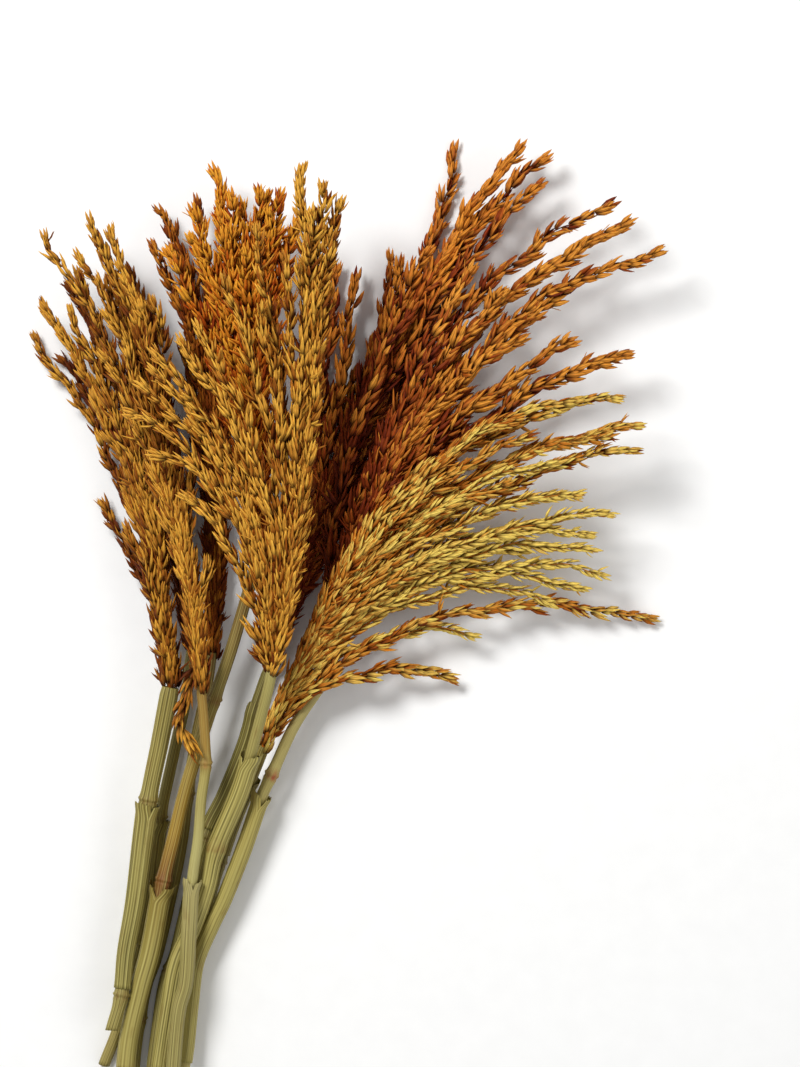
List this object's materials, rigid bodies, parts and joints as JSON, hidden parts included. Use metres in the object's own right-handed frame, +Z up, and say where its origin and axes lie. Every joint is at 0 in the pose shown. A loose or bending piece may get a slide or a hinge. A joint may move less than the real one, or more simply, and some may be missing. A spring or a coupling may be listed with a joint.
{
  "type": "bundle of dried corn stalks",
  "caption": "Loose bunch of cut, dried maize stalks with branching golden and brown tassels, lying on its side as dried decor.",
  "frame": {"origin": "under the middle of the bunch's box, on the surface it lies on", "axes": "+Z up, +Y from the cut butts to the tassel tips, +X to the right when seen from above with the tassels away from the viewer"},
  "size_m": [0.415, 0.6147, 0.109],
  "materials": {
    "stalk": "dried, ribbed, pale olive and straw, matt",
    "sheath": "dried papery leaf sheath, ribbed, pale straw green, matt",
    "tassel_gold": "dry papery spikelets, straw gold, matt",
    "tassel_amber": "dry papery spikelets, amber brown, matt",
    "tassel_brown": "dry papery spikelets, brown gold, matt",
    "tassel_russet": "dry papery spikelets, dark russet, matt"
  },
  "bodies": {
    "root": {"stalk_1": "stalk", "stalk_2": "stalk", "stalk_3": "stalk", "stalk_4": "stalk", "stalk_5": "stalk", "stalk_6": "stalk", "stalk_7": "stalk", "stalk_8": "stalk", "stalk_9": "stalk", "sheath_1": "sheath", "sheath_2": "sheath", "sheath_3": "sheath", "sheath_4": "sheath", "sheath_5": "sheath", "sheath_6": "sheath", "sheath_8": "sheath", "sheath_9": "sheath", "tassel_1": "tassel_brown", "tassel_2": "tassel_brown", "tassel_3": "tassel_amber", "tassel_4": "tassel_gold", "tassel_5": "tassel_gold", "tassel_6": "tassel_amber", "tassel_7": "tassel_amber", "tassel_8": "tassel_russet", "tassel_9": "tassel_gold"}
  },
  "joints": []
}
